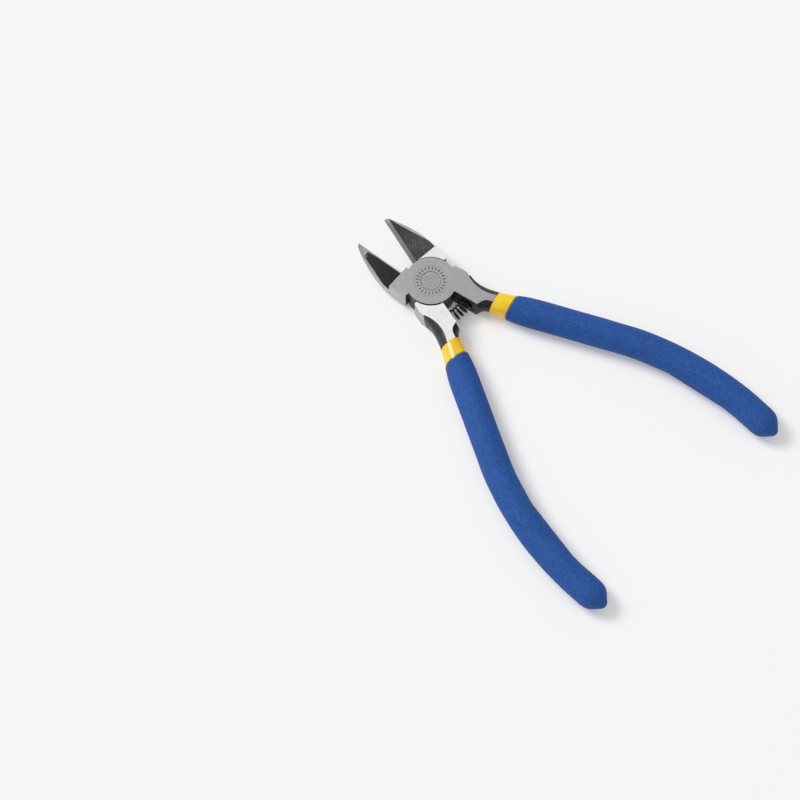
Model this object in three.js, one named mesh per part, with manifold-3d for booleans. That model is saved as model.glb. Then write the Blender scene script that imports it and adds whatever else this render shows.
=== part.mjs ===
// A flush cutter with dipped handles, standing open at the free length of its return spring.
//
// Millimetres. The origin is on the pivot axis, in the rear face of the head, which the tool lies on.
// +X runs from the pivot to the jaws, +Y is to the left of that, and +Z is up through the front face.
//
// Each lever is drawn with its jaw on +Y and its handle on -Y, as near closed as its plan allows: the
// real tool stops 0.6 degrees short of that on each side, where the jaw tips meet. The front lever is
// then turned open about the pivot. The rear lever is the mirror image in plan, turned open the other
// way, with the other half of the lap joint.

import * as THREE from 'three';
import { mergeVertices } from 'three/addons/utils/BufferGeometryUtils.js';
import Module from 'manifold-3d';

const { degToRad } = THREE.MathUtils;

// ---- Driving dimensions ----

const openHalfAngle = degToRad(12.65); // each lever's turn from its drawing to the stored, open position

const headThickness = 9.8;
const discRadius = 8.9;
const slideGap = 0.3; // between the two halves of the lap joint, beside and between the discs
const faceDrop = 0.35; // each lever's ground faces lie this far under the other lever's disc

const tipX = 29.5; // pivot to jaw tip
const tipFlatY = 0.5; // the tip is square this far out, then round to its outer corner
const tipShoulder = new THREE.Vector2(28.9, 1.35);
const heelGap = 0.6; // between the two heads behind the cutting edges, as drawn
const flankCentre = new THREE.Vector2(6.9, -22.95); // the jaw's outer side is one arc
const flankRadius = 32.5;
const flankEndX = 22.5; // where the arc runs out into the tip's fuller curve
const flankEndControl = new THREE.Vector2(27.15, 3.02);
const jawShoulder = [new THREE.Vector2(4.5, 9.46), new THREE.Vector2(4.1, 8.2)]; // the jaw's rear end

const recessHeelX = { front: 9.9, rear: 9.1 }; // where the ground recess starts, on the centreline
const recessSlant = degToRad(8.6); // the recess's end wall leans this far from square
const landZ = 6.6; // the narrow land outside the hollow, below the head's face
const landLine = { x: 15.1, y: 8.14, slope: -0.496 }; // inner edge of that land
const hollowSag = 0.15;
const edgeHeelX = 9.6; // where the cutting edges start, ahead of the heads
const edgeRoot = new THREE.Vector3(12, 0.07, 2.5); // a point on the cutting edge
const edgeLean = -0.0194; // the edge's sideways and upward slopes along X
const edgeClimb = 0.2235; // the flat-ground side climbs with it
// The strip ground beside the edge: at each x its width, its rise, and how far the land has risen.
const bevelStations = [
  { x: 7, width: 1.13, rise: 2.05, land: 0 },
  { x: 13, width: 1.13, rise: 2.05, land: 0 },
  { x: 17, width: 1.13, rise: 2.05, land: 0 },
  { x: 21, width: 1.13, rise: 2.05, land: 0 },
  { x: 24, width: 1.2, rise: 1.7, land: 0 },
  { x: 26.5, width: 1.3, rise: 1.2, land: 0.12 },
  { x: 29, width: 1.43, rise: 0.65, land: 0.35 },
  { x: 31, width: 1.45, rise: 0.4, land: 0.45 },
];

const innerWallY = -0.9; // the handle root's inner wall
const serrationPitch = 0.7;
const serrationDepth = 0.22;
// The concave outer edge of each handle root's ground face, and where its inner edge leaves the wall.
const scallop = {
  front: { x: -17.2, y: -19, radius: 12.6 },
  rear: { x: -16.7, y: -19.4, radius: 12.75 },
};
const rootInnerEnd = {
  front: new THREE.Vector2(-18.05, innerWallY),
  rear: new THREE.Vector2(-17.3, innerWallY),
};
const rootOuterY = -9.4;
const rootDraft = degToRad(4.2); // the root's outer side leans in towards the back

const handleStart = new THREE.Vector2(-12, -3.64);
const handleAngle = degToRad(14.4); // the straight part leans this far out from the centreline
const straightLength = 55;
const bendRadius = 107.4;
const bendAngle = degToRad(27.95);

const gripHalfWidth = 5.25;
const gripHalfHeight = 5.3;
const gripThinning = [0.18, 0.05]; // the grip's loss of width and height at its front edge
const coatGap = 0.3; // between the steel and the first coat, and between the two coats
const undercoatFrontX = -22.5; // both dips leave an edge square to the closed tool's centreline
const gripFrontX = -28.4;
const tangEnd = 108.5; // distances along the handle's centreline, from handleStart
const undercoatEnd = 113.5;
const gripEnd = 119.3;
// The grip's end runs out to the blunt last drip of the dip: distances short of gripEnd, half-widths.
const gripEndProfile = [
  [9, 5.25], [7, 5.25], [5.3, 5.05], [4.2, 4.7], [3.3, 4.15], [2.5, 3.5], [1.6, 2.5], [0.8, 1.65],
  [0.4, 1.3], [0.1, 0.8], [0, 0.3],
];

const rivetShankRadius = 2.6;
const rivetHeadRadius = 3.45;
const rivetHeadHeight = 1.2;
const rivetClearance = 0.06;

const springArcRadius = 13.65; // the spring lies on an arc about the pivot
const springMeanRadius = 2.05;
const springWireRadius = 0.3;
const springTurns = 8;
const pocketRadius = 2.95;
const pocketDepth = 3.4;

const roundSegments = 72;
const ringSegments = 26;

// ---- Materials ----

const steel = new THREE.MeshStandardMaterial({ color: 0xa5a3a5, roughness: 0.42, metalness: 0.9 });
const brightSteel = new THREE.MeshStandardMaterial({ color: 0xdddddf, roughness: 0.35, metalness: 0.9 });
const springSteel = new THREE.MeshStandardMaterial({ color: 0x1c1d1e, roughness: 0.4, metalness: 0.8 });
const yellowDip = new THREE.MeshStandardMaterial({ color: 0xf2c92c, roughness: 0.3, metalness: 0 });
const blueDip = new THREE.MeshStandardMaterial({ color: 0x23509a, roughness: 0.75, metalness: 0 });

// ---- Solids and booleans ----

const wasm = await Module();
wasm.setup();

function solidOf(geometry) {
  geometry.deleteAttribute('normal');
  geometry.deleteAttribute('uv');
  const welded = mergeVertices(geometry);
  return new wasm.Manifold(new wasm.Mesh({
    numProp: 3,
    vertProperties: new Float32Array(welded.attributes.position.array),
    triVerts: new Uint32Array(welded.index.array),
  }));
}

function geometryOf(solid) {
  const mesh = solid.getMesh();
  const geometry = new THREE.BufferGeometry();
  geometry.setAttribute('position', new THREE.BufferAttribute(mesh.vertProperties, 3));
  geometry.setIndex(new THREE.BufferAttribute(mesh.triVerts, 1));
  return geometry;
}

function plate(outline, low, high) {
  const geometry = new THREE.ExtrudeGeometry(outline, {
    depth: high - low, bevelEnabled: false, curveSegments: 24,
  });
  return geometry.translate(0, 0, low);
}

function block(lowX, highX, lowY, highY, lowZ, highZ) {
  const geometry = new THREE.BoxGeometry(highX - lowX, highY - lowY, highZ - lowZ);
  return geometry.translate((lowX + highX) / 2, (lowY + highY) / 2, (lowZ + highZ) / 2);
}

function disc(radius, low, high) {
  const geometry = new THREE.CylinderGeometry(radius, radius, high - low, roundSegments);
  return geometry.rotateX(Math.PI / 2).translate(0, 0, (low + high) / 2);
}

// A closed skin over a row of rings with the same number of points, and a flat cap on each end.
function loft(rings) {
  const count = rings[0].length;
  const positions = rings.flat().flatMap((point) => [point.x, point.y, point.z]);
  const indices = [];
  for (let row = 0; row < rings.length - 1; row += 1) {
    for (let i = 0; i < count; i += 1) {
      const here = row * count + i;
      const next = row * count + (i + 1) % count;
      indices.push(here, next, here + count);
      indices.push(next, next + count, here + count);
    }
  }
  const last = (rings.length - 1) * count;
  for (let i = 1; i < count - 1; i += 1) {
    indices.push(0, i + 1, i);
    indices.push(last, last + i, last + i + 1);
  }
  const geometry = new THREE.BufferGeometry();
  geometry.setAttribute('position', new THREE.Float32BufferAttribute(positions, 3));
  geometry.setIndex(indices);
  return geometry;
}

// The mirror image in the XZ plane, with its faces turned back to point outwards.
function mirrored(geometry) {
  const image = geometry.clone().scale(1, -1, 1);
  const index = image.index.array;
  for (let i = 0; i < index.length; i += 3) {
    [index[i], index[i + 1]] = [index[i + 1], index[i]];
  }
  return image;
}

// ---- The jaw: a forged blank, then the flat side, the hollow and the bevel are ground ----

function edgeY(x) {
  return edgeRoot.y + edgeLean * (x - edgeRoot.x);
}

function edgeZ(x) {
  return edgeRoot.z + edgeClimb * (x - edgeRoot.x);
}

function jawBlank() {
  const flankEndAngle = Math.acos((flankEndX - flankCentre.x) / flankRadius);
  const shoulderAngle = Math.acos((jawShoulder[0].x - flankCentre.x) / flankRadius);
  const outline = new THREE.Shape();
  outline.moveTo(2, heelGap / 2);
  outline.lineTo(edgeHeelX, heelGap / 2);
  outline.lineTo(edgeHeelX, edgeY(edgeHeelX));
  outline.lineTo(tipX, edgeY(tipX));
  outline.lineTo(tipX, tipFlatY);
  outline.quadraticCurveTo(tipX - 0.1, tipShoulder.y - 0.4, tipShoulder.x, tipShoulder.y);
  outline.quadraticCurveTo(flankEndControl.x, flankEndControl.y, flankEndX,
    flankCentre.y + flankRadius * Math.sin(flankEndAngle));
  outline.absarc(flankCentre.x, flankCentre.y, flankRadius, flankEndAngle, shoulderAngle, false);
  outline.lineTo(jawShoulder[1].x, jawShoulder[1].y);
  outline.lineTo(2, 5);
  return solidOf(plate(outline, 0, headThickness));
}

function beyondRecessHeel(heelX) {
  return solidOf(block(0, 40, -20, 40, -20, 40).rotateZ(-recessSlant).translate(heelX, 0, 0));
}

// Everything above the cutting edge's strip, the shallow hollow beside it and the land outside that.
function recessCut(heelX) {
  const beyond = 30;
  const rings = bevelStations.map(({ x, width, rise, land }) => {
    const edge = new THREE.Vector2(edgeY(x), edgeZ(x));
    const ridge = new THREE.Vector2(edge.x + width, edge.y + rise);
    const landEdge = new THREE.Vector2(
      Math.max(landLine.y + landLine.slope * (x - landLine.x), ridge.x + 0.02), landZ + land);
    const middle = ridge.clone().lerp(landEdge, 0.5);
    return [
      [-beyond, edge.y], edge.toArray(), ridge.toArray(), [middle.x, middle.y - hollowSag],
      landEdge.toArray(), [beyond, landEdge.y], [beyond, beyond], [-beyond, beyond],
    ].map(([y, z]) => new THREE.Vector3(x, y, z));
  });
  return solidOf(loft(rings)).intersect(beyondRecessHeel(heelX));
}

function flushCut() {
  const slab = block(-20, 40, -20, 20, -20, 0);
  return solidOf(slab.rotateY(-Math.atan(edgeClimb)).translate(edgeRoot.x, 0, edgeRoot.z));
}

function groundJaw(heelX) {
  return jawBlank().subtract(flushCut()).subtract(recessCut(heelX));
}

// ---- The handle's centreline and its oval sections ----

// The point, direction and sideways normal at a distance along the centreline from handleStart.
function handleFrame(distance) {
  const bendLength = bendRadius * bendAngle;
  const turned = THREE.MathUtils.clamp((distance - straightLength) / bendRadius, 0, bendAngle);
  const straight = Math.min(distance, straightLength);
  const tail = Math.max(distance - straightLength - bendLength, 0);
  const angle = handleAngle - turned;
  const point = handleStart.clone();
  point.x -= straight * Math.cos(handleAngle) + tail * Math.cos(angle);
  point.y -= straight * Math.sin(handleAngle) + tail * Math.sin(angle);
  point.x -= bendRadius * (Math.sin(handleAngle) - Math.sin(angle));
  point.y -= bendRadius * (Math.cos(angle) - Math.cos(handleAngle));
  return { point, side: new THREE.Vector2(Math.sin(angle), -Math.cos(angle)) };
}

function ovalRing(distance, halfWidth, halfHeight, centreZ) {
  const { point, side } = handleFrame(distance);
  const ring = [];
  for (let i = 0; i < ringSegments; i += 1) {
    const angle = (2 * Math.PI * i) / ringSegments;
    const across = halfWidth * Math.cos(angle);
    ring.push(new THREE.Vector3(
      point.x + side.x * across, point.y + side.y * across, centreZ + halfHeight * Math.sin(angle)));
  }
  return ring;
}

// The distance along the handle's straight part at which its centreline reaches x.
function distanceAt(x) {
  return (handleStart.x - x) / Math.cos(handleAngle);
}

const gripMidZ = gripHalfHeight;
const headMidZ = headThickness / 2;
const rootEndX = undercoatFrontX + coatGap; // the bare handle root ends where the first coat starts

// The forged neck narrows from the head to the coat. Its section is an oval, squarer on the outer side
// near the head. Each row has a distance along the handle, the half-width on the outer side, its
// squareness (2 is a plain oval), and the half-width on the inner side.
const neckSections = [
  [-4, 6.1, 8, 4.9],
  [-1.8, 6.1, 8, 4.9],
  [-0.1, 6.05, 7, 4.9],
  [0.9, 5.5, 5.5, 4.9],
  [1.7, 4.97, 4.5, 4.9],
  [2.6, 4.7, 3.6, 4.9],
  [4, 4.4, 2.5, 4.9],
  [6, 4.1, 2.1, 4.85],
  [6.8, 4.02, 2, 4.55],
  [7.8, 3.93, 2, 3.75],
  [9.5, 3.85, 2, 3.55],
  [12.5, 3.8, 2, 3.8],
];
const neckRoot = { clearance: 0.05, bottomZ: 0.6 }; // below the lever's face, and above its back
const neckEndHalfHeight = 4.25;
const neckSegments = 32;
const tangHalfWidth = 3.15;
const tangHalfHeight = 3.3;

function aheadOf(frontX) {
  return solidOf(block(frontX, 60, -60, 60, -5, 20));
}

function neckRing([distance, outer, squareness, inner], faceZ) {
  const along = (distance - neckSections[0][0]) / (neckSections.at(-1)[0] - neckSections[0][0]);
  const topZ = faceZ - neckRoot.clearance;
  const halfHeight = THREE.MathUtils.lerp(
    (topZ - neckRoot.bottomZ) / 2, neckEndHalfHeight, along);
  const centreZ = THREE.MathUtils.lerp((topZ + neckRoot.bottomZ) / 2, gripMidZ, along);
  const { point, side } = handleFrame(distance);
  const ring = [];
  for (let i = 0; i < neckSegments; i += 1) {
    const angle = (2 * Math.PI * i) / neckSegments;
    const power = Math.cos(angle) > 0 ? 2 / squareness : 1;
    const halfWidth = Math.cos(angle) > 0 ? outer : inner;
    const across = halfWidth * Math.sign(Math.cos(angle)) * Math.abs(Math.cos(angle)) ** power;
    const height = halfHeight * Math.sign(Math.sin(angle)) * Math.abs(Math.sin(angle)) ** power;
    ring.push(new THREE.Vector3(
      point.x + side.x * across, point.y + side.y * across, centreZ + height));
  }
  return ring;
}

function neckSolid(faceZ) {
  const rings = neckSections.map((section) => neckRing(section, faceZ));
  return solidOf(loft(rings)).intersect(aheadOf(rootEndX));
}

function tangSolid(faceZ) {
  const taper = 1.5;
  const startDistance = 4;
  const distances = [startDistance, 30, straightLength, 68, 81, 94, tangEnd - taper];
  const rings = distances.map(
    (distance) => ovalRing(distance, tangHalfWidth, tangHalfHeight, gripMidZ));
  rings.push(ovalRing(tangEnd, tangHalfWidth - 1, tangHalfHeight - 1, gripMidZ));
  return neckSolid(faceZ).add(solidOf(loft(rings)));
}

// ---- The handle root: a ground plate with a concave outer edge, on the neck ----

function handleRootPlate(isFront) {
  const arc = isFront ? scallop.front : scallop.rear;
  const innerEnd = isFront ? rootInnerEnd.front : rootInnerEnd.rear;
  const startAngle = Math.PI - Math.acos((arc.x - rootEndX) / arc.radius);
  const endAngle = Math.asin((rootOuterY - arc.y) / arc.radius);
  const outline = new THREE.Shape();
  outline.moveTo(-5, innerWallY);
  outline.lineTo(-5, -5);
  outline.lineTo(-3.7, -8.1);
  outline.lineTo(-4.05, -9.3);
  outline.quadraticCurveTo(-6.5, -9.5, arc.x + arc.radius * Math.cos(endAngle), rootOuterY);
  outline.absarc(arc.x, arc.y, arc.radius, endAngle, startAngle, false);
  outline.lineTo(rootEndX, -4.4);
  outline.quadraticCurveTo(innerEnd.x - 1.7, -4.3, innerEnd.x - 1, -2.7);
  outline.lineTo(innerEnd.x, innerEnd.y);
  outline.closePath();
  const outerDraft = block(-13, 0, -20, 0, -20, 20).rotateX(-rootDraft)
    .translate(0, rootOuterY - 0.05, headThickness);
  return solidOf(plate(outline, 0, headThickness)).subtract(solidOf(outerDraft));
}

// Upright broach marks along the inner wall.
function serrationCut() {
  const firstX = -9.6;
  const count = 11;
  let cut = null;
  for (let i = 0; i < count; i += 1) {
    const groove = new THREE.CylinderGeometry(serrationDepth, serrationDepth, 3 * headThickness, 4);
    groove.rotateX(Math.PI / 2).translate(firstX - i * serrationPitch, innerWallY, 0);
    cut = cut ? cut.add(solidOf(groove)) : solidOf(groove);
  }
  return cut;
}

function springPocketCut() {
  const mouth = 1;
  const geometry = new THREE.CylinderGeometry(pocketRadius, pocketRadius, pocketDepth + mouth, 32);
  return solidOf(geometry.translate(
    -springArcRadius + 0.25, innerWallY - (pocketDepth - mouth) / 2, headMidZ));
}

// ---- The rivet, and the stepped hole it needs ----

function rivetOutline(clearance, overrun) {
  const shank = rivetShankRadius + clearance;
  const headRadius = rivetHeadRadius + clearance;
  const headHeight = rivetHeadHeight + clearance;
  const cone = headRadius - shank;
  return [
    new THREE.Vector2(0, -overrun),
    new THREE.Vector2(headRadius, -overrun),
    new THREE.Vector2(headRadius, headHeight),
    new THREE.Vector2(shank, headHeight + cone),
    new THREE.Vector2(shank, headThickness - headHeight),
    new THREE.Vector2(headRadius, headThickness - headHeight),
    new THREE.Vector2(headRadius, headThickness + overrun),
    new THREE.Vector2(0, headThickness + overrun),
  ];
}

function rivet(clearance, overrun) {
  const geometry = new THREE.LatheGeometry(rivetOutline(clearance, overrun), 48);
  return solidOf(geometry.rotateX(Math.PI / 2));
}

// ---- A whole lever, closed, with its jaw on +Y ----

function leverSolid(isFront) {
  const heelX = isFront ? recessHeelX.front : recessHeelX.rear;
  const innerHalf = solidOf(block(-60, 0, innerWallY, 30, -5, 20));
  const low = isFront ? faceDrop : 0;
  const high = isFront ? headThickness : headThickness - faceDrop;
  const handle = tangSolid(high).add(handleRootPlate(isFront)).subtract(innerHalf)
    .subtract(serrationCut()).subtract(springPocketCut());
  const ends = groundJaw(heelX).add(handle);
  const trimmed = ends.intersect(solidOf(block(-200, 60, -60, 60, low, high)));

  const lapZ = headMidZ + (isFront ? slideGap : -slideGap) / 2;
  const otherHalf = isFront ? [-5, lapZ] : [lapZ, 20];
  const ownHalf = isFront ? [lapZ, headThickness] : [0, lapZ];
  return trimmed
    .subtract(solidOf(disc(discRadius + slideGap, ...otherHalf)))
    .add(solidOf(disc(discRadius, ...ownHalf)))
    .subtract(rivet(rivetClearance, 2));
}

// ---- The dipped coats: closed-ended sleeves ----

// Stations along a sleeve as far as its end's curve, closer together near its thin front edge.
function bodyStations(front) {
  return [front, front + 3, front + 6, front + 10, 40, straightLength, 64, 73, 82, 91, 100];
}

function domedStations(front, end, domeLength) {
  const stations = bodyStations(front);
  const domeSteps = 5;
  for (let i = 0; i <= domeSteps; i += 1) {
    const angle = (i / domeSteps) * (Math.PI / 2);
    stations.push(end - domeLength * (1 - Math.sin(angle)));
  }
  return stations;
}

// A dip runs thin towards its front edge.
function frontFactor(distance, front, thinning) {
  const thinLength = 10;
  const into = THREE.MathUtils.clamp((distance - front) / thinLength, 0, 1);
  return 1 - thinning * (1 - into) ** 2;
}

function domeFactor(distance, end, domeLength, tipFactor) {
  const into = THREE.MathUtils.clamp((distance - (end - domeLength)) / domeLength, 0, 1);
  return tipFactor + (1 - tipFactor) * Math.sqrt(1 - into * into);
}

// The first coat is full where it shows and steps down under the second.
const bandRearX = gripFrontX + coatGap;
const bandFront = { distance: distanceAt(undercoatFrontX), halfWidth: 3.8, halfHeight: 4.55 };
const bandRear = { distance: distanceAt(bandRearX), halfWidth: 4.4, halfHeight: 5 };
const bandOverrun = 2.5; // the rings reach this far past the band's ends, which are cut square later
const hiddenHalfWidth = 3.85;
const hiddenHalfHeight = 4.2;

function undercoatBand() {
  const ends = [bandFront, bandRear];
  const rings = ends.map((end) => ovalRing(end.distance, end.halfWidth, end.halfHeight, gripMidZ));
  rings.unshift(ovalRing(
    bandFront.distance - bandOverrun, bandFront.halfWidth, bandFront.halfHeight, gripMidZ));
  rings.push(ovalRing(
    bandRear.distance + bandOverrun, bandRear.halfWidth, bandRear.halfHeight, gripMidZ));
  return solidOf(loft(rings)).intersect(solidOf(block(bandRearX, 0, -30, 30, -5, 20)));
}

function domedSolid(front, end, domeLength, tipFactor, halfWidth, halfHeight) {
  const rings = domedStations(front, end, domeLength).map((distance) => {
    const factor = domeFactor(distance, end, domeLength, tipFactor);
    return ovalRing(distance, halfWidth * factor, halfHeight * factor, gripMidZ);
  });
  return solidOf(loft(rings));
}

function undercoatGeometry() {
  const outside = domedSolid(
    bandRear.distance - bandOverrun, undercoatEnd, 4, 0.4, hiddenHalfWidth, hiddenHalfHeight);
  const inside = domedSolid(
    0, tangEnd + coatGap, 3, 0.8, tangHalfWidth + coatGap, tangHalfHeight + coatGap);
  return geometryOf(
    outside.add(undercoatBand()).subtract(inside).subtract(aheadOf(undercoatFrontX)));
}

function gripGeometry() {
  const overrun = 1.5; // the front is cut square afterwards
  const front = distanceAt(gripFrontX) - overrun;
  const bodyRings = bodyStations(front).map((distance) => ovalRing(
    distance,
    gripHalfWidth * frontFactor(distance, front, gripThinning[0]),
    gripHalfHeight * frontFactor(distance, front, gripThinning[1]),
    gripMidZ));
  const endRings = gripEndProfile.map(([short, halfWidth]) => ovalRing(
    gripEnd - short, halfWidth, halfWidth * gripHalfHeight / gripHalfWidth, gripMidZ));
  const outside = solidOf(loft([...bodyRings, ...endRings]));
  const inside = domedSolid(
    10, undercoatEnd + coatGap, 4, 0.55, hiddenHalfWidth + coatGap, hiddenHalfHeight + coatGap);
  return geometryOf(outside.subtract(inside).subtract(aheadOf(gripFrontX)));
}

// ---- The return spring: a coil on an arc about the pivot, its ends in the two pockets ----

class SpringCurve extends THREE.Curve {
  getPoint(along, target = new THREE.Vector3()) {
    const endGap = 0.1; // between the spring and the pocket's floor
    const reach = pocketDepth - innerWallY - springWireRadius - endGap;
    const halfSweep = openHalfAngle + Math.asin(reach / (springArcRadius + springMeanRadius));
    const sweep = halfSweep * (2 * along - 1);
    const turn = 2 * Math.PI * springTurns * along;
    const radius = springArcRadius + springMeanRadius * Math.cos(turn);
    return target.set(
      -radius * Math.cos(sweep), radius * Math.sin(sweep),
      headMidZ + springMeanRadius * Math.sin(turn));
  }
}

function springGeometry() {
  const section = new THREE.Shape();
  section.absarc(0, 0, springWireRadius, 0, 2 * Math.PI, false);
  return new THREE.ExtrudeGeometry(section, {
    steps: springTurns * 14, extrudePath: new SpringCurve(), curveSegments: 4,
  });
}

// ---- Assembly ----

function piece(name, geometry, material) {
  const mesh = new THREE.Mesh(geometry, material);
  mesh.name = name;
  return mesh;
}

const frontLever = new THREE.Group();
frontLever.rotation.z = openHalfAngle;
frontLever.add(
  piece('front_lever', geometryOf(leverSolid(true)), steel),
  piece('front_undercoat', undercoatGeometry(), yellowDip),
  piece('front_grip', gripGeometry(), blueDip),
);

const rearLever = new THREE.Group();
rearLever.rotation.z = -openHalfAngle;
rearLever.add(
  piece('rear_lever', mirrored(geometryOf(leverSolid(false))), brightSteel),
  piece('rear_undercoat', mirrored(undercoatGeometry()), yellowDip),
  piece('rear_grip', mirrored(gripGeometry()), blueDip),
);

const group = new THREE.Group();
group.add(
  frontLever,
  rearLever,
  piece('pivot_rivet', geometryOf(rivet(0, 0)), steel),
  piece('return_spring', springGeometry(), springSteel),
);

export default group;
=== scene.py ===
"""A flush cutter with dipped handles, standing open, on a plain pale floor.

The CAD frame gives the parts and their places. Here each part is rebuilt as a finer piece that rides on
the same body, with its own procedural material. Blender's units are metres. Sizes are named in
millimetres, as a tool drawing has them, and pass through MM.
"""

import math

import bmesh
import bpy
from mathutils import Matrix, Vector, noise


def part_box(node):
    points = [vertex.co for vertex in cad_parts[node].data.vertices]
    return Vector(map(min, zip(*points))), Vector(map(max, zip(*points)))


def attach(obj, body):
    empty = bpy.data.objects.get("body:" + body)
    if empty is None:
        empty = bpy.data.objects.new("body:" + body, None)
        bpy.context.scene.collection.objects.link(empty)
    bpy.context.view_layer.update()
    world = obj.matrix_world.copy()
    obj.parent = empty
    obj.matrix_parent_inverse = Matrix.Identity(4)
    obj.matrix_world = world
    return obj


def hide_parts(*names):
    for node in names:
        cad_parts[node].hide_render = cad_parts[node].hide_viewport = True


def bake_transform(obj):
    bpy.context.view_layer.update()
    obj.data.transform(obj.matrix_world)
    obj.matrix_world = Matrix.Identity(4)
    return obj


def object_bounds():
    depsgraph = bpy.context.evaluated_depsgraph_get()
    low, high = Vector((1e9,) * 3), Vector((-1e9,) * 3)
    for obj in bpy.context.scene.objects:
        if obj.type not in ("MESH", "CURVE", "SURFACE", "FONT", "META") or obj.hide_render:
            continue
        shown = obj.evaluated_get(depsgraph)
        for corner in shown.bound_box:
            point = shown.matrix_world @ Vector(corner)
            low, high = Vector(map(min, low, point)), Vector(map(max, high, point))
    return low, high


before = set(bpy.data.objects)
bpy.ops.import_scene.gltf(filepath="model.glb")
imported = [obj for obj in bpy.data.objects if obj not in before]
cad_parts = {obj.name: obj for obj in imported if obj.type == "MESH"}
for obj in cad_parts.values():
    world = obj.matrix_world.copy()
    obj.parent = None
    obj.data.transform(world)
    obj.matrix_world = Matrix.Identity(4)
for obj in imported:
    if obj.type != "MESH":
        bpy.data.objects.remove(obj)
cad_low, cad_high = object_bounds()

MM = 0.001
SIDES = ("front", "rear")
BODY = {"front": "front_half", "rear": "rear_half"}
HEAD_TOP = {side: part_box(f"{side}_lever")[1].z / MM for side in SIDES}
HEAD_MIDDLE = (HEAD_TOP["front"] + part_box("rear_lever")[0].z / MM) / 2
HALF_OPEN = math.radians(12.65)  # each lever's turn from its drawing to the stored, open position

# The handle's centreline, as drawn for the front lever: straight, then bent back in.
HANDLE_START = Vector((-12.0, -3.64))
HANDLE_ANGLE = math.radians(14.4)
HANDLE_STRAIGHT = 55.0
BEND_RADIUS = 107.4
BEND_ANGLE = math.radians(27.95)
GRIP_MIDDLE = 5.3  # height of the handle's centreline
RESTING = 0.02  # lowest line of the grips, a hair clear of the bench

UNDERCOAT_FRONT = -22.3  # drawn x of the first coat's front edge
GRIP_FRONT = -28.4
GRIP_HALF_WIDTH, GRIP_HALF_HEIGHT = 5.25, 5.28
COAT_HALF_WIDTH, COAT_HALF_HEIGHT = 4.3, 4.75  # the first coat's, inside the grip
COAT_END = 110.0  # distance along the centreline where the first coat's round end is
GRIP_END = 119.3
# The grip's end runs out to the blunt last drip of the dip: distances short of GRIP_END, half-widths.
GRIP_END_PROFILE = (
    (9.0, 5.25), (8.0, 5.25), (7.0, 5.23), (6.1, 5.16), (5.3, 5.03), (4.7, 4.88), (4.1, 4.65), (3.5, 4.3),
    (2.9, 3.84), (2.3, 3.29), (1.7, 2.66), (1.2, 2.13), (0.8, 1.72), (0.45, 1.38), (0.2, 1.03),
    (0.05, 0.6), (0.0, 0.3))

JAW_HEEL = {"front": 9.9, "rear": 9.1}  # drawn x where the recess of the jaw starts, at y 0
HEEL_LEAN = 0.15  # how much further out it starts for each millimetre of y
STRIP_WIDTH = 1.13  # of the strip ground beside the cutting edge
DISC_RADIUS = 8.9
LAND_X, LAND_Y, LAND_SLOPE = 15.1, 8.14, -0.496  # the line outside which the jaw's bright land lies
INNER_WALL_Y = -1.3  # drawn y just inside the broached wall that faces the other handle
HEAD_SIDE_X = 4.45  # drawn x from which the outer side beside the jaw is linished
SHOULDER_X = -4.2  # drawn x of the shoulder behind the disc
NECK_X = -8.8  # drawn x where the neck leaves the head
RELIEF_Y = -5.5  # drawn y beyond which the neck is relieved
ROOT_BACK_X = -17.4  # drawn x where the handle's root has narrowed to its neck
GROUND_END_X = -9.3  # drawn x where the linished side of the head turns to forged scale
ARRIS = 0.14  # width of the rounding on a forged lever's edges

SPRING_RADIUS = 13.65
COIL_RADIUS = 2.05
WIRE_RADIUS = 0.3
SPRING_TURNS = 8


# ---- Frames of reference ----

def drawn(point, side):
    """A point of the row frame in metres, in its lever's own drawing: jaw on +Y, millimetres."""
    turn = -HALF_OPEN if side == "front" else HALF_OPEN
    x = point.x * math.cos(turn) - point.y * math.sin(turn)
    y = point.x * math.sin(turn) + point.y * math.cos(turn)
    return Vector((x, y if side == "front" else -y, point.z)) / MM


def placed(x, y, z, side):
    """The reverse of drawn."""
    turn = HALF_OPEN if side == "front" else -HALF_OPEN
    y = y if side == "front" else -y
    return Vector((
        x * math.cos(turn) - y * math.sin(turn), x * math.sin(turn) + y * math.cos(turn), z)) * MM


def handle_station(distance):
    """The centreline's point at a distance along it, and the sideways direction there."""
    turned = min(max((distance - HANDLE_STRAIGHT) / BEND_RADIUS, 0), BEND_ANGLE)
    straight = min(distance, HANDLE_STRAIGHT)
    tail = max(distance - HANDLE_STRAIGHT - BEND_RADIUS * BEND_ANGLE, 0)
    angle = HANDLE_ANGLE - turned
    x = HANDLE_START.x - straight * math.cos(HANDLE_ANGLE) - tail * math.cos(angle)
    y = HANDLE_START.y - straight * math.sin(HANDLE_ANGLE) - tail * math.sin(angle)
    x -= BEND_RADIUS * (math.sin(HANDLE_ANGLE) - math.sin(angle))
    y -= BEND_RADIUS * (math.cos(angle) - math.cos(HANDLE_ANGLE))
    return Vector((x, y)), Vector((math.sin(angle), -math.cos(angle)))


def distance_at(x):
    """How far along the handle's centreline a drawn x lies, on its straight part."""
    return (HANDLE_START.x - x) / math.cos(HANDLE_ANGLE)


# ---- Making mesh objects ----

def new_object(name, mesh):
    piece = bpy.data.objects.new(name, mesh)
    bpy.context.scene.collection.objects.link(piece)
    return piece


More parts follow.
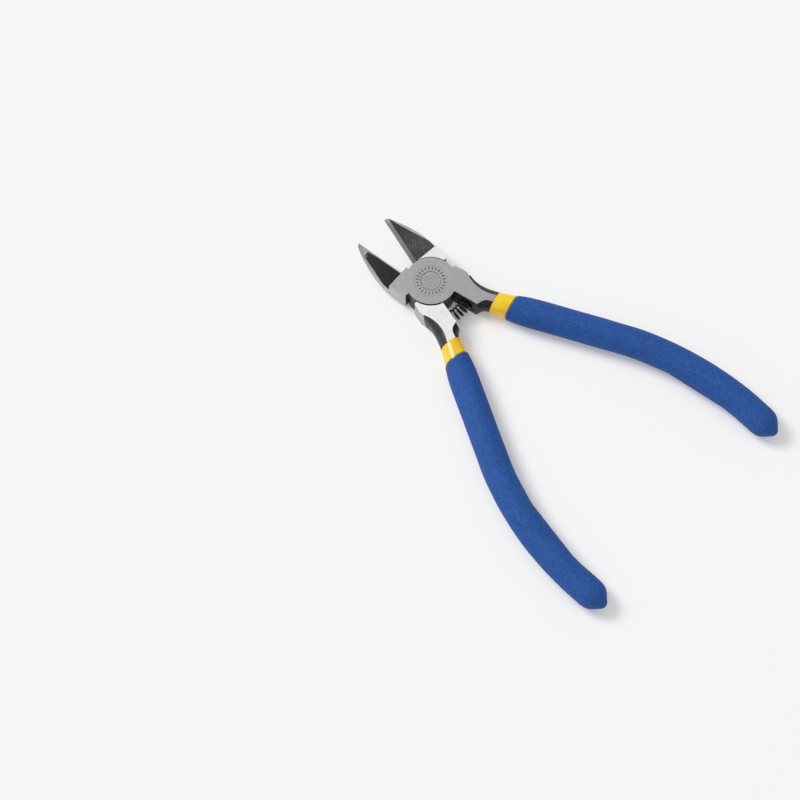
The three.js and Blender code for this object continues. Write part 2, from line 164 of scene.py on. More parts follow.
def finish_mesh(working, name, sharp_degrees=180):
    """Turns a bmesh into a smooth-shaded object, sharp where faces meet at sharp_degrees or more."""
    bmesh.ops.recalc_face_normals(working, faces=working.faces)
    working.normal_update()
    sharp = math.radians(sharp_degrees)
    for edge in working.edges:
        edge.smooth = edge.calc_face_angle(0) < sharp
    mesh = bpy.data.meshes.new(name)
    working.to_mesh(mesh)
    working.free()
    if "custom_normal" in mesh.attributes:  # the CAD mesh's own, which fit its old faces
        mesh.attributes.remove(mesh.attributes["custom_normal"])
    for polygon in mesh.polygons:
        polygon.use_smooth = True
    return new_object(name, mesh)


def skin(working, rings):
    """Quads between rings of points, each closed on itself, with a fan on either end."""
    rows = [[working.verts.new(point) for point in ring] for ring in rings]
    count = len(rows[0])
    for here, after in zip(rows, rows[1:]):
        for i in range(count):
            j = (i + 1) % count
            working.faces.new((here[i], here[j], after[j], after[i]))
    for row in (rows[0], rows[-1]):
        centre = working.verts.new(sum((vertex.co for vertex in row), Vector()) / count)
        for i in range(count):
            working.faces.new((row[i], row[(i + 1) % count], centre))


# ---- Material building blocks ----

class Shader:
    """A material's node tree, with short calls for the nodes used here. Its coordinates are in mm."""

    def __init__(self, name):
        self.material = bpy.data.materials.new(name)
        self.material.use_nodes = True
        self.tree = self.material.node_tree
        self.surface = self.tree.nodes["Principled BSDF"]
        coordinates = self.tree.nodes.new("ShaderNodeTexCoord")
        self.place = self.mapped(coordinates.outputs["Object"], scale=(1 / MM,) * 3)

    def node(self, kind, inputs, **settings):
        made = self.tree.nodes.new(kind)
        for key, value in settings.items():
            setattr(made, key, value)
        for key, value in inputs.items():
            if isinstance(value, bpy.types.NodeSocket):
                self.tree.links.new(value, made.inputs[key])
            else:
                made.inputs[key].default_value = value
        return made

    def mapped(self, vector, scale=(1, 1, 1), turn=0.0):
        return self.node("ShaderNodeMapping", {
            "Vector": vector, "Scale": scale, "Rotation": (0, 0, turn)}).outputs["Vector"]

    def noise(self, scale, detail=3.0, roughness=0.5, vector=None):
        return self.node("ShaderNodeTexNoise", {
            "Vector": vector or self.place, "Scale": scale, "Detail": detail,
            "Roughness": roughness}).outputs["Fac"]

    def math(self, operation, a, b=0.0):
        return self.node("ShaderNodeMath", {0: a, 1: b}, operation=operation).outputs[0]

    def axes(self, vector):
        return self.node("ShaderNodeSeparateXYZ", {"Vector": vector}).outputs

    def length(self, x, y):
        """How far a place in the plane is from the origin."""
        squares = self.math("ADD", self.math("MULTIPLY", x, x), self.math("MULTIPLY", y, y))
        return self.math("SQRT", squares)

    def spread(self, value, low, high, out_low=0.0, out_high=1.0):
        """value's range low to high, moved smoothly to out_low to out_high."""
        return self.node("ShaderNodeMapRange", {
            "Value": value, "From Min": low, "From Max": high, "To Min": out_low, "To Max": out_high,
        }, interpolation_type="SMOOTHSTEP").outputs["Result"]

    def mix(self, share, a, b):
        made = self.node("ShaderNodeMix", {}, data_type="RGBA")
        for index, value in ((0, share), (6, a), (7, b)):
            if isinstance(value, bpy.types.NodeSocket):
                self.tree.links.new(value, made.inputs[index])
            else:
                made.inputs[index].default_value = value
        return made.outputs[2]

    def bump(self, height, depth_mm, strength=1.0, under=None):
        inputs = {"Height": height, "Strength": strength, "Distance": depth_mm * MM}
        if under is not None:
            inputs["Normal"] = under
        return self.node("ShaderNodeBump", inputs).outputs["Normal"]

    def set(self, **values):
        names = {"colour": "Base Color", "roughness": "Roughness", "metallic": "Metallic",
                 "normal": "Normal", "coat": "Coat Weight", "coat_roughness": "Coat Roughness",
                 "specular": "Specular IOR Level"}
        for key, value in values.items():
            socket = self.surface.inputs[names[key]]
            if isinstance(value, bpy.types.NodeSocket):
                self.tree.links.new(value, socket)
            else:
                socket.default_value = value
        return self.material


def grey(level, warmth=0.0):
    """A near-neutral linear colour."""
    return (level * (1 + warmth), level, level * (1 - warmth), 1.0)


# ---- Steel ----

def ground_steel(name, level, turn, roughness=0.34, grain=0.12, contrast=0.09, metallic=1.0):
    """Ground faces: fine lines along one direction over a slow mottle."""
    s = Shader(name)
    lines = s.noise(1.0, 4, 0.65, s.mapped(s.place, scale=(grain, 6.5, 1.0), turn=turn))
    fine = s.noise(1.0, 2, 0.5, s.mapped(s.place, scale=(grain * 3, 18.0, 1.0), turn=turn))
    mottle = s.noise(0.35, 4, 0.6)
    tone = s.math("ADD", s.math("MULTIPLY", lines, 0.6), s.math("MULTIPLY", mottle, 0.4))
    colour = s.mix(s.spread(tone, 0.3, 0.7), grey(level * (1 - contrast)), grey(level * (1 + contrast)))
    rough = s.spread(lines, 0.25, 0.75, roughness - 0.06, roughness + 0.08)
    normal = s.bump(fine, 0.006, 0.6, s.bump(lines, 0.012, 0.6))
    return s.set(colour=colour, roughness=rough, metallic=metallic, normal=normal)


def front_face_steel():
    """The front lever's satin face, turned on the disc, with a plain etched dial round the rivet."""
    s = Shader("front_face_steel")
    x, y, _ = s.axes(s.place)
    radius = s.length(x, y)
    angle = s.math("ARCTAN2", y, x)
    polar = s.node("ShaderNodeCombineXYZ", {
        "X": s.math("MULTIPLY", radius, 5.0), "Y": s.math("MULTIPLY", angle, 0.8)}).outputs[0]
    turned = s.noise(1.0, 3, 0.6, polar)
    brushed = s.noise(1.0, 3, 0.6, s.mapped(s.place, scale=(0.15, 4.0, 1.0), turn=-0.5))
    mottle = s.noise(0.4, 4, 0.6)
    on_disc = s.spread(radius, 8.2, 9.4, 1.0, 0.0)
    grain = s.math("ADD", s.math("MULTIPLY", turned, on_disc),
                   s.math("MULTIPLY", brushed, s.math("SUBTRACT", 1.0, on_disc)))
    tone = s.math("ADD", s.math("MULTIPLY", grain, 0.5), s.math("MULTIPLY", mottle, 0.5))
    base = s.mix(s.spread(tone, 0.3, 0.7), grey(0.385), grey(0.45))

    etched = s.math("MAXIMUM", dial_ticks(s, radius, angle), dial_rings(s, radius))
    etched = s.math("MULTIPLY", etched, s.spread(s.noise(2.2, 3), 0.25, 0.5, 0.5, 1.0))
    colour = s.mix(s.math("MULTIPLY", etched, 0.9), base, grey(0.06, 0.04))
    rough = s.spread(grain, 0.3, 0.7, 0.36, 0.47)
    normal = s.bump(s.math("SUBTRACT", 1.0, etched), 0.03, 0.5, s.bump(grain, 0.01, 0.5))
    return s.set(colour=colour, roughness=rough, metallic=1.0, normal=normal)


def dial_ticks(s, radius, angle, count=24, inner=4.15, outer=5.25, share=0.36):
    """Evenly spaced short bars, standing out from the centre."""
    turns = s.math("FRACT", s.math("MULTIPLY", s.math("ADD", angle, math.pi), count / (2 * math.pi)))
    off_centre = s.math("ABSOLUTE", s.math("SUBTRACT", turns, 0.5))
    bar = s.spread(off_centre, share / 2 - 0.05, share / 2 + 0.05, 1.0, 0.0)
    inside = s.spread(radius, inner - 0.08, inner + 0.08)
    outside = s.spread(radius, outer - 0.08, outer + 0.08, 1.0, 0.0)
    return s.math("MULTIPLY", bar, s.math("MULTIPLY", inside, outside))


def dial_rings(s, radius, rings=((5.85, 0.5), (3.62, 0.35))):
    """Thin etched circles, each a radius and a strength."""
    total = None
    for at, strength in rings:
        near = s.math("ABSOLUTE", s.math("SUBTRACT", radius, at))
        ring = s.spread(near, 0.04, 0.12, strength, 0.0)
        total = ring if total is None else s.math("MAXIMUM", total, ring)
    return total


def oxide_steel():
    """Black oxide on broached and milled walls: near black, a little gloss."""
    s = Shader("oxide_steel")
    mottle = s.noise(0.9, 4, 0.6)
    upright = s.noise(1.0, 2, 0.5, s.mapped(s.place, scale=(2.5, 2.5, 0.25)))
    colour = s.mix(s.spread(mottle, 0.3, 0.75), grey(0.008, -0.03), grey(0.022, -0.02))
    normal = s.bump(upright, 0.02, 0.4, s.bump(mottle, 0.01, 0.3))
    return s.set(colour=colour, roughness=s.spread(mottle, 0.3, 0.7, 0.3, 0.48), metallic=0.35,
                 specular=0.35, normal=normal)


def flank_steel():
    """The jaws' and heads' outer sides: linished light grey, a little stained near the shoulder."""
    s = Shader("flank_steel")
    colour, rough, lines = flank_finish(s)
    return s.set(colour=colour, roughness=rough, metallic=1.0, normal=s.bump(lines, 0.015, 0.6))


def flank_finish(s):
    """The linished finish: its colour, its roughness and the height of its lines."""
    lines = s.noise(1.0, 3, 0.6, s.mapped(s.place, scale=(0.3, 0.3, 5.0)))
    stain = s.noise(0.8, 5, 0.7)
    colour = s.mix(s.spread(lines, 0.3, 0.7), grey(0.36), grey(0.5))
    colour = s.mix(s.spread(stain, 0.55, 0.72, 0.0, 0.45), colour, grey(0.16, 0.03))
    return colour, s.spread(stain, 0.3, 0.7, 0.32, 0.5), lines


def root_side_steel(side):
    """The handle root's outer side: linished beside the head, then dark forged scale."""
    s = Shader(f"root_side_steel_{side}")
    x, _, z = s.axes(drawing_place(s, side))
    linished, rough, lines = flank_finish(s)
    scale = s.noise(1.2, 5, 0.65)
    slow = s.noise(0.25, 3, 0.5)
    specks = s.spread(s.noise(2.6, 2, 0.5), 0.66, 0.74)
    forged = s.mix(s.spread(slow, 0.3, 0.7), grey(0.026, -0.02), grey(0.046, -0.02))
    forged = s.mix(s.math("MULTIPLY", specks, 0.6), forged, (0.11, 0.075, 0.07, 1))
    lean, raggedness = 0.28, 0.6
    depth = s.math("SUBTRACT", HEAD_TOP[side], z)
    past = s.math("ADD", s.math("SUBTRACT", x, GROUND_END_X), s.math("MULTIPLY", depth, lean))
    past = s.math("ADD", past, s.math("MULTIPLY", s.math("SUBTRACT", scale, 0.5), raggedness))
    ground = s.spread(past, -0.12, 0.12)
    return s.set(colour=s.mix(ground, forged, linished), metallic=s.spread(ground, 0, 1, 0.6, 1.0),
                 roughness=s.spread(scale, 0.3, 0.7, 0.38, 0.52),
                 normal=s.bump(scale, 0.03, 0.5, s.bump(lines, 0.008, 0.4)))


def drawing_place(s, side):
    """The shader's place in the lever's own drawing, in mm."""
    turn = -HALF_OPEN if side == "front" else HALF_OPEN
    place = s.mapped(s.place, turn=turn)
    return place if side == "front" else s.mapped(place, scale=(1, -1, 1))


def rear_hollow_finish(s, x, y, soft):
    """Fine curved cutter lines on near black steel: a colour and a height."""
    cutter_x, cutter_y, pitch = 34.4, -22.4, 0.5
    radius = s.length(s.math("SUBTRACT", x, cutter_x), s.math("SUBTRACT", y, cutter_y))
    waver = s.math("MULTIPLY", s.noise(0.45, 3), 0.9)
    wave = s.math("SINE", s.math("MULTIPLY", s.math("ADD", radius, waver), 2 * math.pi / pitch))
    broken = s.spread(s.noise(1.1, 3, 0.6), 0.3, 0.7, 0.25, 1.0)
    lines = s.math("MULTIPLY", s.spread(wave, -0.7, 1.0), broken)
    fade = s.spread(x, 16.0, 25.0, 1.0, 0.3)
    share = s.math("MULTIPLY", s.math("MULTIPLY", lines, fade), s.spread(soft, 0.3, 0.7, 0.6, 1.0))
    return s.mix(share, grey(0.033, -0.01), grey(0.15, -0.02)), lines


def front_hollow_finish(s, x, soft, grain):
    """Plain near black steel, rubbed bright at the tip with a ragged border."""
    ragged = s.math("ADD", x, s.math("MULTIPLY", s.math("SUBTRACT", s.noise(0.8, 4), 0.5), 5.0))
    bright = s.spread(ragged, 24.9, 25.4)
    specks = s.spread(s.noise(1.6, 2), 0.6, 0.66, 1.0, 0.25)
    dark = s.mix(s.spread(soft, 0.3, 0.7), grey(0.021, -0.01), grey(0.033, -0.01))
    light = s.mix(s.spread(grain, 0.3, 0.7), grey(0.22), grey(0.34))
    return s.mix(s.math("MULTIPLY", bright, specks), dark, light), grain


def recess_steel(side):
    """The jaw's ground recess: a dark hollow, and outside it a narrow bright land."""
    s = Shader(f"recess_steel_{side}")
    place = drawing_place(s, side)
    x, y, _ = s.axes(place)
    soft = s.noise(0.5, 3, 0.6)
    grain = s.noise(1.0, 3, 0.6, s.mapped(place, scale=(4.0, 0.5, 1.0), turn=0.5))
    if side == "rear":
        hollow, height = rear_hollow_finish(s, x, y, soft)
    else:
        hollow, height = front_hollow_finish(s, x, soft, grain)
    inner = s.math("ADD", s.math("MULTIPLY", s.math("SUBTRACT", x, LAND_X), LAND_SLOPE), LAND_Y)
    uneven = s.math("MULTIPLY", s.math("SUBTRACT", s.noise(1.2, 3), 0.5), 0.25)
    past = s.math("SUBTRACT", s.math("ADD", y, uneven), inner)
    on_land = s.spread(past, 0.0, 0.12)
    level = 0.46 if side == "rear" else 0.38
    land = s.mix(s.spread(grain, 0.3, 0.7), grey(level * 0.85), grey(level * 1.1))
    return s.set(colour=s.mix(on_land, hollow, land), roughness=s.spread(grain, 0.3, 0.7, 0.4, 0.52),
                 metallic=s.spread(on_land, 0, 1, 0.5, 1.0), specular=0.35,
                 normal=s.bump(height, 0.012, 0.5))


def strip_steel(side):
    """The narrow strip ground beside the cutting edge."""
    s = Shader(f"strip_steel_{side}")
    place = drawing_place(s, side)
    lines = s.noise(1.0, 3, 0.6, s.mapped(place, scale=(0.25, 4.0, 1.5)))
    mottle = s.noise(0.9, 3, 0.6)
    level = 0.25 if side == "rear" else 0.44
    tone = s.math("ADD", s.math("MULTIPLY", lines, 0.5), s.math("MULTIPLY", mottle, 0.5))
    colour = s.mix(s.spread(tone, 0.35, 0.65), grey(level * 0.8), grey(level * 1.15))
    return s.set(colour=colour, roughness=s.spread(lines, 0.3, 0.7, 0.48, 0.6), metallic=1.0,
                 normal=s.bump(lines, 0.01, 0.5))


def lever_materials(side):
    """One material for each region of a lever, in the order of the mesh's slots."""
    if side == "front":
        face = front_face_steel()
    else:
        # The rear face is the same ground steel as the front; its near white level is a painted
        # reflection of light off its brushed grain.
        face = ground_steel("rear_face_painted_reflection", 0.9, math.radians(24), roughness=0.36, grain=0.3,
                            contrast=0.08, metallic=0.6)
    return {
        "face": face,
        "recess": recess_steel(side),
        "strip": strip_steel(side),
        "edge": ground_steel(f"edge_steel_{side}", 0.4, HALF_OPEN if side == "rear" else -HALF_OPEN,
                             roughness=0.3, grain=0.1, contrast=0.14),
        "flank": FLANK,
        "oxide": OXIDE,
        "root": root_side_steel(side),
    }


# ---- The levers ----

def face_region(centre, normal, side):
    """Which finish a face of a lever has, from its place and direction in the lever's drawing."""
    x, y, z = centre
    top = HEAD_TOP[side]
    heel = JAW_HEEL[side] + HEEL_LEAN * y
    beside_neck = x < NECK_X and y < RELIEF_Y + 0.5  # where the neck rises almost level with the face
    if normal.z > 0.7 and z > top - (0.03 if beside_neck else 0.3):
        return "face"
    if x > heel - 0.2 and y > -0.2 and math.hypot(x, y) > DISC_RADIUS - 0.2:
        return jaw_region(centre, normal, heel)
    if normal.z < -0.7:
        return "face"
    if math.hypot(x, y) < DISC_RADIUS + 0.5 or y > INNER_WALL_Y and x < 0:
        return "oxide"
    if x > 0:
        return "flank" if x > HEAD_SIDE_X and normal.y > 0.3 else "oxide"
    return root_region(centre, normal)


def jaw_region(centre, normal, heel):
    """The same beyond the recess's heel."""
    x, y = centre.xy
    strip_width = STRIP_WIDTH + 0.06 * max(x - 24, 0)  # a little wider at the tip
    if normal.z < -0.6:
        return "edge"
    if normal.z > 0.2 and y < strip_width:
        return "strip"
    if normal.z > 0.5 or normal.x > 0.7 and x < heel + 1:
        return "recess"
    return "flank" if normal.y > 0 else "edge"


def root_region(centre, normal):
    """The same on the handle's root, behind the head."""
    behind_root = normal.y > -0.2 and centre.x < ROOT_BACK_X - 0.1
    if normal.y > 0.25 or behind_root or centre.x > SHOULDER_X:
        return "oxide"
    return "root"


def edge_is_round(edge, side):
    """Whether a lever's edge gets a rounded arris: not the broach marks, the relief or the ground jaw."""
    if not edge.is_manifold or edge.calc_face_angle() < math.radians(24):
        return False
    middle = drawn((edge.verts[0].co + edge.verts[1].co) / 2, side)
    broached = ROOT_BACK_X - 0.6 < middle.x < NECK_X and middle.y > INNER_WALL_Y - 0.05
    relieved = middle.x < NECK_X and middle.y < RELIEF_Y or middle.x < ROOT_BACK_X
    in_jaw = middle.x > JAW_HEEL[side] + 0.3 + HEEL_LEAN * middle.y
    in_recess = middle.x > JAW_HEEL[side] - 0.2 and middle.z < HEAD_TOP[side] - 0.5
    ground = middle.y > -0.5 and (in_jaw or in_recess)
    return not broached and not relieved and not ground


def build_lever(side):
    """The forged lever: the CAD solid's own faces with rounded arrises and a finish for each region."""
    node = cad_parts[f"{side}_lever"]
    working = bmesh.new()
    working.from_mesh(node.data)
    welded, sliver = 0.0005 * MM, 0.004 * MM
    bmesh.ops.remove_doubles(working, verts=working.verts, dist=welded)
    bmesh.ops.dissolve_limit(
        working, angle_limit=math.radians(0.3), verts=working.verts, edges=working.edges)
    arrises = [edge for edge in working.edges if edge_is_round(edge, side)]
    bmesh.ops.bevel(
        working, geom=arrises, offset=ARRIS * MM, offset_type="OFFSET", segments=2, profile=0.5,
        affect="EDGES", clamp_overlap=False)
    # A wall of many corners shades evenly only when it is cut up. The level faces stay whole.
    walls = [face for face in working.faces if len(face.verts) > 4 and abs(face.normal.z) < 0.99]
    bmesh.ops.triangulate(working, faces=walls)
    bmesh.ops.dissolve_degenerate(working, dist=sliver, edges=working.edges)
    piece = finish_mesh(working, f"{side}_forging", sharp_degrees=32)
    materials = lever_materials(side)
    for material in materials.values():
        piece.data.materials.append(material)
    order = list(materials)
    for polygon in piece.data.polygons:
        normal = drawn(polygon.normal, side) * MM
        polygon.material_index = order.index(face_region(drawn(polygon.center, side), normal, side))
    evened = piece.modifiers.new("even_normals", "WEIGHTED_NORMAL")
    evened.keep_sharp = True
    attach(piece, BODY[side])
    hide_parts(f"{side}_lever")


# ---- The rivet ----

def rivet_steel():
    """Turned and ground flush, with two plain etched circles in its middle."""
    s = Shader("rivet_face_steel")
    x, y, _ = s.axes(s.place)
    radius = s.length(x, y)
    grain = s.noise(1.0, 3, 0.6, s.mapped(s.place, scale=(0.3, 4.5, 1.0), turn=-0.5))
    base = s.mix(s.spread(grain, 0.3, 0.7), grey(0.375), grey(0.44))
    etched = s.math("MULTIPLY", dial_rings(s, radius, ((2.0, 0.7), (0.9, 0.9))),
                    s.spread(s.noise(2.0, 2), 0.3, 0.55, 0.3, 1.0))
    colour = s.mix(s.math("MULTIPLY", etched, 0.8), base, grey(0.075, 0.04))
    return s.set(colour=colour, roughness=s.spread(grain, 0.3, 0.7, 0.34, 0.44), metallic=1.0,
                 normal=s.bump(s.math("SUBTRACT", 1.0, etched), 0.03, 0.5, s.bump(grain, 0.01, 0.5)))


def build_rivet():
    """A flush rivet with a countersunk head on each end."""
    low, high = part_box("pivot_rivet")
    radius = (high.x - low.x) / 2
    shank, head, arris = 0.75 * radius, 1.2 * MM, 0.08 * MM
    half = [(radius - arris, 0.0), (radius, arris), (radius, head), (shank, head + radius - shank)]
    height = high.z - low.z
    profile = half + [(r, height - z) for r, z in reversed(half)]
    count = 96
    working = bmesh.new()
    skin(working, [
        [Vector((r * math.cos(2 * math.pi * i / count), r * math.sin(2 * math.pi * i / count), low.z + z))
         for i in range(count)] for r, z in profile])
    piece = finish_mesh(working, "flush_rivet", sharp_degrees=30)
    piece.data.materials.append(rivet_steel())
    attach(piece, "front_half")
    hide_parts("pivot_rivet")


# ---- The return spring ----

def wire_steel():
    """Oxidised spring wire, slightly glossy."""
    s = Shader("black_wire")
    drawn_lines = s.noise(3.0, 3, 0.6)
    colour = s.mix(s.spread(drawn_lines, 0.3, 0.7), grey(0.006), grey(0.02))
    return s.set(colour=colour, roughness=s.spread(drawn_lines, 0.3, 0.7, 0.25, 0.4), metallic=0.5,
                 normal=s.bump(drawn_lines, 0.01, 0.4))


def build_spring():
    """A coil on an arc about the pivot, standing in both levers' pockets."""
    low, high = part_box("return_spring")
    end_gap = 0.25 * MM
    sweep = math.asin(((high.y - low.y) / 2 - end_gap) / (SPRING_RADIUS * MM + COIL_RADIUS * MM))
    steps, sides = 40 * SPRING_TURNS, 14

    def about_pivot(out, along, height):
        arc = sweep * (2 * along - 1)
        return Vector((-out * math.cos(arc), out * math.sin(arc), height)) * MM

    def middle(along):
        turn = 2 * math.pi * SPRING_TURNS * along
        return about_pivot(SPRING_RADIUS + COIL_RADIUS * math.cos(turn), along,
                           HEAD_MIDDLE + COIL_RADIUS * math.sin(turn))

    rings = []
    for step in range(steps + 1):
        along = step / steps
        tangent = (middle(along + 1e-4) - middle(along - 1e-4)).normalized()
        outward = (middle(along) - about_pivot(SPRING_RADIUS, along, HEAD_MIDDLE)).normalized()
        across = tangent.cross(outward).normalized()
        outward = across.cross(tangent)
        thickness = WIRE_RADIUS * MM * min(1.0, 0.75 + 40 * min(along, 1 - along))  # rounded ends
        rings.append([
            middle(along) + thickness * (math.cos(a) * outward + math.sin(a) * across)
            for a in (2 * math.pi * i / sides for i in range(sides))])
    working = bmesh.new()
    skin(working, rings)
    piece = finish_mesh(working, "coil_spring", sharp_degrees=50)
    piece.data.materials.append(wire_steel())
    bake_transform(piece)
    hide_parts("return_spring")


# ---- The dipped coats ----

def oval_ring(side, distance, half_width, half_height, front_x=None, waviness=0.0):
    """A ring round the handle. Near a front edge the ring leans, to lie square to the drawing's x."""
    count, leaning, upright_after = 72, 0.0, 14.0
    if front_x is not None:
        behind = distance - distance_at(front_x)
        leaning = max(0.0, 1 - behind / upright_after) * math.tan(HANDLE_ANGLE)
    ring = []
    for i in range(count):
        angle = 2 * math.pi * i / count
        across = half_width * math.cos(angle)
        point, sideways = handle_station(distance + across * leaning)
        height = half_height * math.sin(angle)
        swell = 1.0
        if waviness:
            swell += waviness * noise.noise(Vector((point.x * 0.12, across * 0.2, height * 0.2)))
        ring.append(placed(
            point.x + sideways.x * across * swell, point.y + sideways.y * across * swell,
            max(GRIP_MIDDLE + height * swell, RESTING), side))
    return ring


def grip_half_size(distance):
    """The blue coat's half-width and half-height: thin at its front edge, full nine millimetres back."""
    start, full_after = distance_at(GRIP_FRONT), 9.0
    thin = max(0.0, 1 - (distance - start) / full_after)
    return GRIP_HALF_WIDTH - 0.68 * thin ** 2, GRIP_HALF_HEIGHT - 0.2 * thin ** 2


def build_grip(side):
    """The frosted second dip: full, softly uneven, running out to its last drip."""
    start = distance_at(GRIP_FRONT)
    rings = []
    for back, shrink in ((0.0, 0.22), (0.02, 0.12), (0.09, 0.05), (0.22, 0.0)):
        width, height = grip_half_size(start + back)
        rings.append(oval_ring(side, start + back, width - shrink, height - shrink, GRIP_FRONT))
    body_steps, waviness = 110, 0.022
    body_start, body_end = start + 0.22, GRIP_END - GRIP_END_PROFILE[0][0]
    for step in range(1, body_steps):
        distance = body_start + (body_end - body_start) * step / body_steps
        width, height = grip_half_size(distance)
        fade = min(1.0, (distance - start) / 12)  # the thin front is even
        rings.append(oval_ring(side, distance, width, height, GRIP_FRONT, waviness * fade))
    for short, width in GRIP_END_PROFILE:
        rings.append(oval_ring(side, GRIP_END - short, width, width, waviness=waviness))
    bore_width, bore_height = 4.42, 4.9
    inner = [oval_ring(side, distance, bore_width, bore_height, GRIP_FRONT)
             for distance in (GRIP_END - 14, 70, 40, start + 6)]
    inner.append(oval_ring(side, start + 0.25, bore_width - 0.05, bore_height + 0.02, GRIP_FRONT))
    working = bmesh.new()
    skin(working, inner + rings)
    piece = finish_mesh(working, f"{side}_frosted_grip", sharp_degrees=60)
    piece.data.materials.append(BLUE)
    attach(piece, BODY[side])
    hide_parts(f"{side}_grip")


def build_undercoat(side):
    """The glossy first dip, seen as a band between the steel and the blue coat."""
    start = distance_at(UNDERCOAT_FRONT)
    seen_end = distance_at(GRIP_FRONT)

    def outline(distance):
        share = min(1.0, (distance - start) / (seen_end - start))
        return 3.86 + 0.48 * share, 4.55 + 0.36 * share

    rings = []
    for back, shrink in ((0.0, 0.16), (0.03, 0.07), (0.12, 0.02), (0.28, 0.0)):
        width, height = outline(start + back)
        rings.append(oval_ring(side, start + back, width - shrink, height - shrink, UNDERCOAT_FRONT))
    for step in range(1, 31):
        distance = start + 0.28 + (seen_end + 4 - start - 0.28) * step / 30
        width, height = outline(distance)
        rings.append(oval_ring(side, distance, width, height, UNDERCOAT_FRONT, waviness=0.012))
    dome = 6.0  # length of the coat's round end
    hidden = (30, 42, 55, 68, 80, 92)
    for distance in (*hidden, COAT_END - dome):
        rings.append(oval_ring(side, distance, COAT_HALF_WIDTH, COAT_HALF_HEIGHT))
    for step in range(1, 6):
        angle = 0.5 * math.pi * step / 5.5
        rings.append(oval_ring(side, COAT_END - dome * (1 - math.sin(angle)),
                               COAT_HALF_WIDTH * math.cos(angle), COAT_HALF_HEIGHT * math.cos(angle)))
    bore_width, bore_height = 3.35, 3.5
    inner = [oval_ring(side, distance, bore_width, bore_height)
             for distance in (COAT_END - 8, *reversed(hidden), start + 3)]
    for back, width, height in ((0.6, 3.6, 4.2), (0.05, 3.68, 4.35)):
        inner.append(oval_ring(side, start + back, width, height, UNDERCOAT_FRONT))
    working = bmesh.new()
    skin(working, inner + rings)
    piece = finish_mesh(working, f"{side}_yellow_coat", sharp_degrees=60)
    piece.data.materials.append(YELLOW)
    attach(piece, BODY[side])
    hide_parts(f"{side}_undercoat")


def blue_dip():
    """Frosted vinyl: a fine pebble in soft clumps, with pale painted highlights on its peaks, and a slow
    change of depth.
    """
    s = Shader("frosted_blue_vinyl")
    pebble = s.noise(2.4, 3, 0.6)
    grain = s.noise(5.5, 2, 0.6)
    clumps = s.noise(0.75, 3, 0.55)
    slow = s.noise(0.08, 3, 0.5)
    base = s.mix(s.spread(slow, 0.3, 0.7), (0.007, 0.043, 0.19, 1), (0.009, 0.05, 0.225, 1))
    base = s.mix(s.spread(clumps, 0.35, 0.68, 0.0, 0.6), base, (0.013, 0.075, 0.31, 1))
    # Painted highlights: the pebble's peaks are painted paler, and the pale specks on them stand in for
    # glints of light.
    base = s.mix(s.spread(pebble, 0.38, 0.68, 0.0, 0.6), base, (0.022, 0.105, 0.365, 1))
    specks = s.math("MULTIPLY", s.spread(grain, 0.56, 0.68), s.spread(pebble, 0.45, 0.6))
    colour = s.mix(s.math("MULTIPLY", specks, 0.5), base, (0.1, 0.24, 0.56, 1))
    height = s.math("ADD", s.math("MULTIPLY", pebble, 0.7), s.math("MULTIPLY", grain, 0.3))
    return s.set(colour=colour, roughness=s.spread(pebble, 0.3, 0.7, 0.62, 0.8), specular=0.25,
                 normal=s.bump(height, 0.14, 0.8))


def yellow_dip():
    """Glossy vinyl, faintly rippled, with a rare dark speck in it and a dark line where blue begins."""
    s = Shader("glossy_yellow_vinyl")
    x, y, _ = s.axes(s.place)
    outward = s.math("MULTIPLY", s.math("ABSOLUTE", y), -1.0)
    folded = s.node("ShaderNodeCombineXYZ", {"X": x, "Y": outward}).outputs[0]
    along = s.axes(s.mapped(folded, turn=-HALF_OPEN))["X"]
    ripple = s.noise(0.7, 2, 0.4)
    slow = s.noise(0.2, 2, 0.5)
    base = s.mix(s.spread(slow, 0.35, 0.65), (0.84, 0.46, 0.006, 1), (0.91, 0.56, 0.009, 1))
    specks = s.spread(s.noise(1.7, 1, 0.3), 0.79, 0.83)
    colour = s.mix(specks, base, (0.12, 0.07, 0.02, 1))
    # A dark greenish line on the yellow just before the blue coat's edge, its border made ragged with
    # noise.
    ragged_along = s.math("ADD", along, s.math("MULTIPLY", s.noise(1.5, 2), 0.3))
    border = s.spread(ragged_along, GRIP_FRONT + 0.4, GRIP_FRONT + 0.8, 0.9, 0.0)
    colour = s.mix(border, colour, (0.03, 0.09, 0.03, 1))
    return s.set(colour=colour, roughness=s.spread(ripple, 0.3, 0.7, 0.22, 0.32), specular=0.5,
                 coat=0.25, coat_roughness=0.12, normal=s.bump(ripple, 0.06, 0.35))


# ---- Camera, floor and light ----

AIM = Vector((-22.19, 37.92, GRIP_MIDDLE)) * MM
CAMERA_HEADING = math.radians(-45.58)  # of its line of sight over the floor, from +X
CAMERA_DROP = math.radians(68.654)
CAMERA_DISTANCE = 0.8889
LENS = 117.0


def point_at(thing, place, target):
    thing.location = place
    thing.rotation_mode = "QUATERNION"
    thing.rotation_quaternion = (target - place).to_track_quat("-Z", "Y")


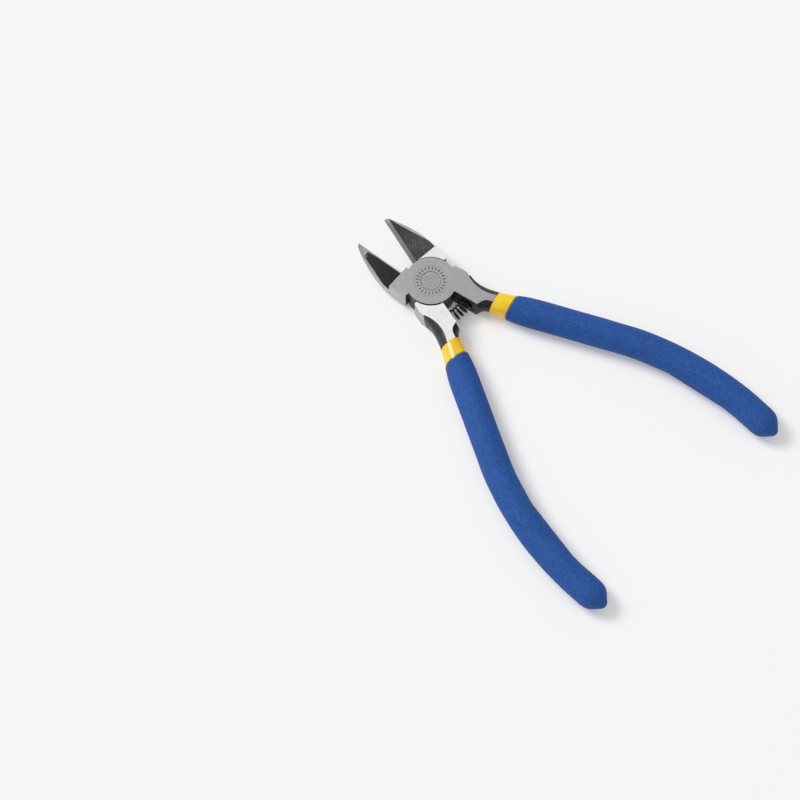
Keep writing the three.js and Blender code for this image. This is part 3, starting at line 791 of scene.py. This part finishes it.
def make_camera():
    data = bpy.data.cameras.new("camera")
    data.sensor_width, data.lens = 36.0, LENS
    data.clip_start, data.clip_end = 0.01, 20
    camera = bpy.data.objects.new("camera", data)
    bpy.context.scene.collection.objects.link(camera)
    sight = Vector((math.cos(CAMERA_DROP) * math.cos(CAMERA_HEADING),
                    math.cos(CAMERA_DROP) * math.sin(CAMERA_HEADING), -math.sin(CAMERA_DROP)))
    point_at(camera, AIM - CAMERA_DISTANCE * sight, AIM)
    bpy.context.scene.camera = camera


def make_floor():
    working = bmesh.new()
    bmesh.ops.create_grid(working, x_segments=8, y_segments=8, size=3.0)
    floor = finish_mesh(working, "pale_floor")
    floor.location.z = cad_low.z - 0.02 * MM
    s = Shader("pale_floor")
    tone = s.noise(0.02, 2, 0.5)
    colour = s.mix(s.spread(tone, 0.3, 0.7), (0.87, 0.87, 0.875, 1), (0.885, 0.885, 0.89, 1))
    material = s.set(colour=colour, roughness=0.85, specular=0.2)
    s.surface.inputs["Emission Color"].default_value = (1.0, 1.0, 1.0, 1.0)
    s.surface.inputs["Emission Strength"].default_value = 0.12  # a bench lit a little from below
    floor.data.materials.append(material)


def make_light(name, place, size, energy):
    data = bpy.data.lights.new(name, "AREA")
    data.shape, data.size, data.energy = "DISK", size, energy
    light = bpy.data.objects.new(name, data)
    bpy.context.scene.collection.objects.link(light)
    point_at(light, AIM + Vector(place), AIM)


def light_scene():
    world = bpy.data.worlds.new("studio")
    bpy.context.scene.world = world
    world.use_nodes = True
    background = world.node_tree.nodes["Background"]
    background.inputs["Color"].default_value = (1.0, 1.0, 1.0, 1.0)
    background.inputs["Strength"].default_value = 0.58
    make_light("key_softbox", (1.06, 0.31, 1.2), 0.8, 17.5)
    make_light("fill_softbox", (-0.9, 0.9, 1.0), 1.2, 1.5)
    view = bpy.context.scene.view_settings
    view.view_transform = "Standard"
    view.use_curve_mapping = True
    view.curve_mapping.clip_max_x = 1.5
    shoulder = view.curve_mapping.curves[3]
    shoulder.points[-1].location = (1.12, 0.925)
    for point in ((0.8, 0.8), (0.93, 0.895)):
        shoulder.points.new(*point)
    view.curve_mapping.update()


# ---- Everything together ----

OXIDE, FLANK = oxide_steel(), flank_steel()
BLUE, YELLOW = blue_dip(), yellow_dip()

make_camera()
make_floor()
light_scene()
for side in SIDES:
    build_lever(side)
    build_undercoat(side)
    build_grip(side)
build_rivet()
build_spring()
